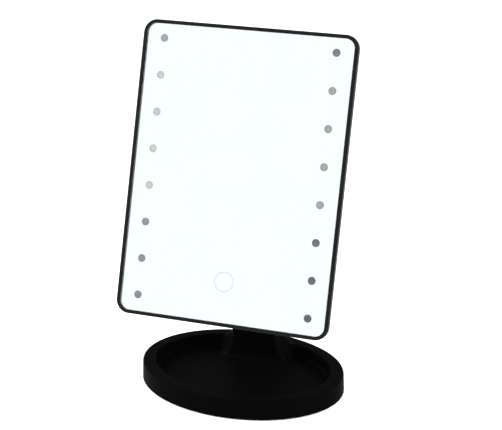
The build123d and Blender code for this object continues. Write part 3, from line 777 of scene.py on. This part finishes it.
def tray_height(x, y):
    """Height of the moulding's upper face: floor inside the hollow, rim outside, a rounded wall between."""
    level = (x / inner_length) ** 2 + (y / inner_depth) ** 2 - 1
    slope = 2 * np.sqrt((x / inner_length ** 2) ** 2 + (y / inner_depth ** 2) ** 2)
    from_oval = -level / np.maximum(slope, 1e-3)
    side = np.maximum(np.abs(x) - neck_half_width + 2 * MM, 0)
    ahead = np.maximum(neck_front + pedestal_foot - y, 0)
    from_pedestal = np.hypot(side, ahead)
    inside = smooth_minimum(from_oval, from_pedestal, sweep_reach)
    near = np.clip((sweep_start - from_pedestal) / sweep_reach, 0, 1)
    near = near ** 2 * (3 - 2 * near) * np.clip(1 - ahead / (8 * MM), 0, 1)
    inside = inside / (1 + sweep_spread * near)
    return np.interp(inside, wall_section[:, 0], wall_section[:, 1])


# %% Tray surface
def tray_shell():
    """Rings from the centre out to the rim, down the outer wall and back underneath."""
    rear = np.linspace(math.radians(35), math.radians(145), 300, endpoint=False)
    front = np.linspace(math.radians(145), math.radians(395), 240, endpoint=False)
    angle = np.concatenate([rear, front])
    top_length = tray_half_length - draft
    top_depth = tray_half_depth - draft
    width = np.concatenate([
        np.linspace(55, 38, 5, endpoint=False), np.linspace(38, 13, 76, endpoint=False),
        np.linspace(13, 8, 26, endpoint=False), np.linspace(8, 2.2, 5),
    ]) * MM
    rows = []
    for scale in (0.3, 0.65):
        x = (top_length - width[0]) * scale * np.cos(angle)
        y = (top_depth - width[0]) * scale * np.sin(angle)
        rows.append(np.column_stack([x, y, tray_height(x, y)]))
    for inset in width:
        x = (top_length - inset) * np.cos(angle)
        y = (top_depth - inset) * np.sin(angle)
        rows.append(np.column_stack([x, y, tray_height(x, y)]))
    wall = 2 * MM
    under = tray_floor - wall
    outside = rounded_profile([
        (2.1 * MM, rim_top, 0), (0, rim_top, 2.0 * MM), (-draft, tray_bottom, 0.4 * MM),
        (wall, tray_bottom, 0.1 * MM), (wall, under, 0.3 * MM), (40 * MM, under, 0),
    ], 8)
    for inset, height in outside:
        x = (top_length - inset) * np.cos(angle)
        y = (top_depth - inset) * np.sin(angle)
        rows.append(np.column_stack([x, y, np.full(len(angle), height)]))
    return np.array(rows)


# %% Neck outline
def neck_ring():
    """Outline of the neck's section as x, y and outward directions, with a point every millimetre."""
    middle = (neck_front + neck_back) / 2
    half_depth = (neck_back - neck_front) / 2
    centres, directions = rounded_outline(neck_half_width, half_depth, neck_corner, 12)
    spread = []
    for index in range(len(centres)):
        after = (index + 1) % len(centres)
        gap = np.linalg.norm(centres[after] - centres[index])
        steps = max(1, int(round(gap / (1.0 * MM))))
        share = np.arange(steps)[:, None] / steps
        spread.append(np.hstack([
            centres[index] + (centres[after] - centres[index]) * share,
            np.tile(directions[index], (steps, 1)),
        ]))
    spread = np.concatenate(spread)
    flat = spread[:, :2] + spread[:, 2:] * neck_corner
    return flat[:, 0], flat[:, 1] + middle, spread[:, 2:]


# %% Pedestal
top_lip = 0.3 * MM
flare_sideways = 12.5 * MM
flare_forwards = 3.5 * MM


def pedestal():
    """The neck's root: its sides sweep out, and their rise over the tray falls as (1 - share)^1.5."""
    x, y, direction = neck_ring()
    rise_at_neck = (4.0 + 10.0 * direction[:, 0] ** 2) * MM
    rows = []
    for height, lip in ((neck_top, top_lip), (neck_top - top_lip, 0.0)):
        level = np.full(len(x), height)
        rows.append(np.column_stack([x - direction[:, 0] * lip, y - direction[:, 1] * lip, level]))
    quarter = np.linspace(0.15, 1.0, 22) * math.pi / 2
    for share in np.concatenate([[0.0], 1 - np.cos(quarter)]):
        at_x = x + direction[:, 0] * flare_sideways * share
        at_y = y + direction[:, 1] * flare_forwards * share
        rise = rise_at_neck * (1 - share) ** 1.5
        rows.append(np.column_stack([at_x, at_y, tray_height(at_x, at_y) + rise + 0.01 * MM]))
    foot = rows[-1].copy()
    foot[:, 2] -= 1.2 * MM
    rows.append(foot)
    inner_y = (y - neck_front) * 0.6 + neck_front + 4 * MM
    rows.append(np.column_stack([x * 0.6, inner_y, np.full(len(x), tray_floor - 1 * MM)]))
    return np.array(rows)


# %% Tray piece
skin(
    "tray_moulding", [tray_shell(), pedestal()], "base", base_black, ["base_tray"]
)

# %% [markdown]
# ## Studio light
# Black plastic is drawn by what it reflects. A bright, even surround keeps the glass and the floor
# white. Two large soft boxes, one high on each side, draw the edges of the frame, the rim and the
# neck, and the left one is the stronger.

# %% Floor, surround and lights
def floor_sheet():
    """Large flat sheet under the object."""
    span = 6.0
    mesh = bpy.data.meshes.new("floor")
    corners = [(-span, -span, 0.0), (span, -span, 0.0), (span, span, 0.0), (-span, span, 0.0)]
    mesh.from_pydata(corners, [], [(0, 1, 2, 3)])
    thing = bpy.data.objects.new("floor", mesh)
    bpy.context.scene.collection.objects.link(thing)
    finish = Finish("floor_paper")
    fibre = finish.noise(0.8 * MM, 3.0)
    colour = finish.blend(fibre, (0.93, 0.94, 0.94, 1.0), (0.96, 0.96, 0.96, 1.0))
    dress(thing, finish.done(finish.surface(base_color=colour, roughness=0.85, specular_ior_level=0.1)))


# %% Soft light
def soft_light(name, place, aim, size, power):
    """Square area light pointed at a spot."""
    data = bpy.data.lights.new(name, "AREA")
    data.energy = power
    data.size = size
    light = bpy.data.objects.new(name, data)
    light.location = place
    light.rotation_euler = (Vector(aim) - Vector(place)).to_track_quat("-Z", "Y").to_euler()
    bpy.context.scene.collection.objects.link(light)


# %% Studio
floor_sheet()
surround = bpy.data.worlds.new("surround")
bpy.context.scene.world = surround
surround.use_nodes = True
surround.node_tree.nodes["Background"].inputs["Color"].default_value = (0.97, 0.99, 1.0, 1.0)
surround.node_tree.nodes["Background"].inputs["Strength"].default_value = 1.1
soft_light("left_box", (-1.3, -0.35, 0.75), (0.0, 0.0, 0.05), 1.0, 36)
soft_light("right_box", (1.3, 0.05, 0.75), (0.0, 0.0, 0.05), 1.0, 28)
bpy.context.scene.view_settings.view_transform = "Standard"
